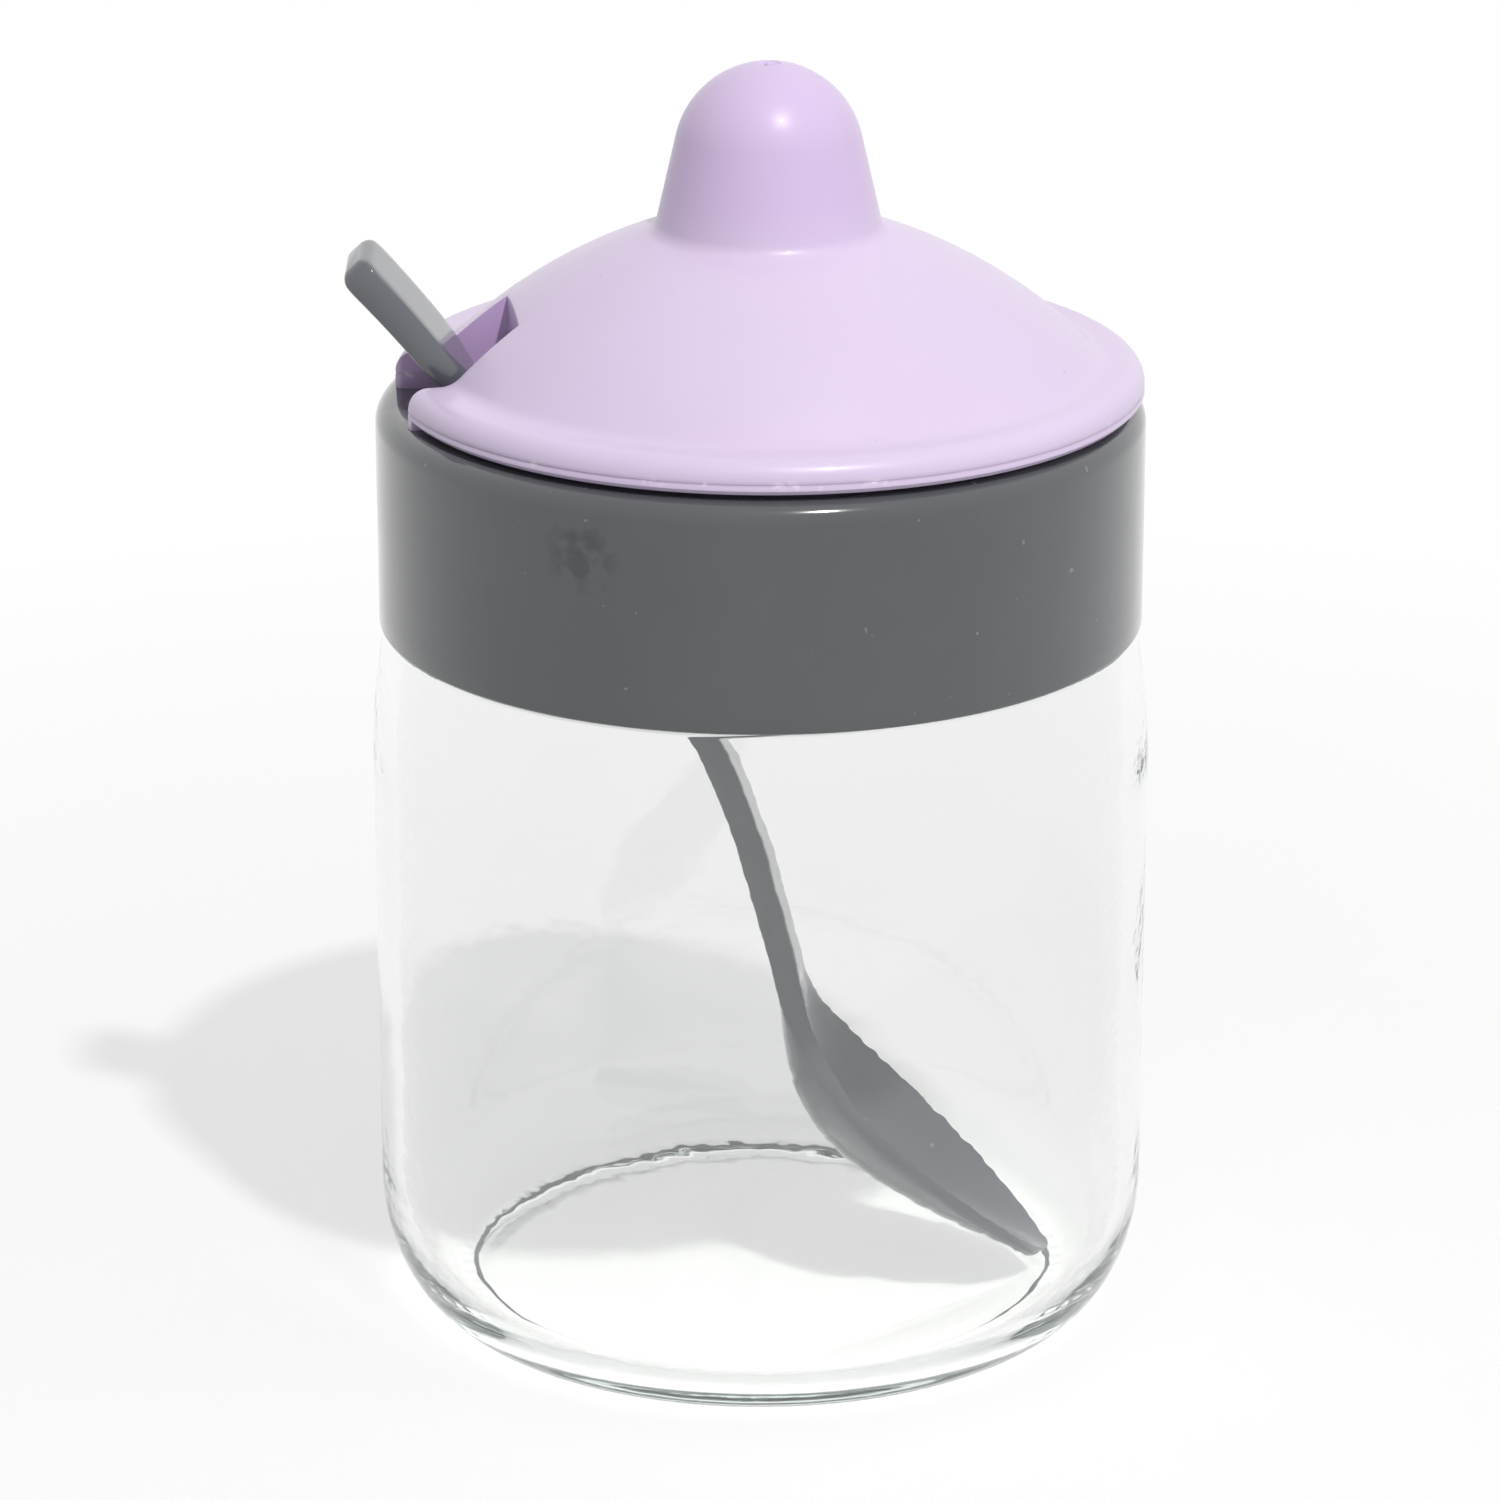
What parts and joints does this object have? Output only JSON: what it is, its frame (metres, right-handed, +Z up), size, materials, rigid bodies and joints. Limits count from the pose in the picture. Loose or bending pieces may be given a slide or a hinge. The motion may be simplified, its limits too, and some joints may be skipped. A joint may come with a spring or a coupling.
{
  "type": "jam pot",
  "caption": "Glass jam jar with a turning plastic collar, a domed lift-off lid with a knob and a spoon notch, and a spoon that stands in it.",
  "frame": {"origin": "on the jar's axis, in the plane that the jar stands on", "axes": "+Z up along the jar's axis; the lid's notch and the spoon's handle point along -X"},
  "size_m": [0.0878, 0.086, 0.1416],
  "materials": {
    "clear_glass": "clear, faintly green, smooth with a stippled base ring",
    "collar_grey": "semi-gloss moulded",
    "lid_lilac": "soft gloss moulded",
    "spoon_grey": "gloss moulded"
  },
  "bodies": {
    "jar": {"glass_jar": "clear_glass"},
    "collar": {"screw_collar": "collar_grey"},
    "lid": {"lid": "lid_lilac"},
    "spoon": {"spoon": "spoon_grey"}
  },
  "joints": [
    {"name": "collar_turn", "type": "hinge", "parent": "jar", "child": "collar", "pos_m": [0, 0, 0.0923], "axis": [0, 0, 1], "range_deg": [0, 90]},
    {"name": "lid_lift", "type": "slide", "parent": "collar", "child": "lid", "axis": [0, 0, 1], "range_m": [0, 0.06]},
    {"name": "spoon_draw", "type": "slide", "parent": "collar", "child": "spoon", "axis": [-0.5341, 0.0663, 0.8428], "range_m": [0, 0.045]}
  ]
}
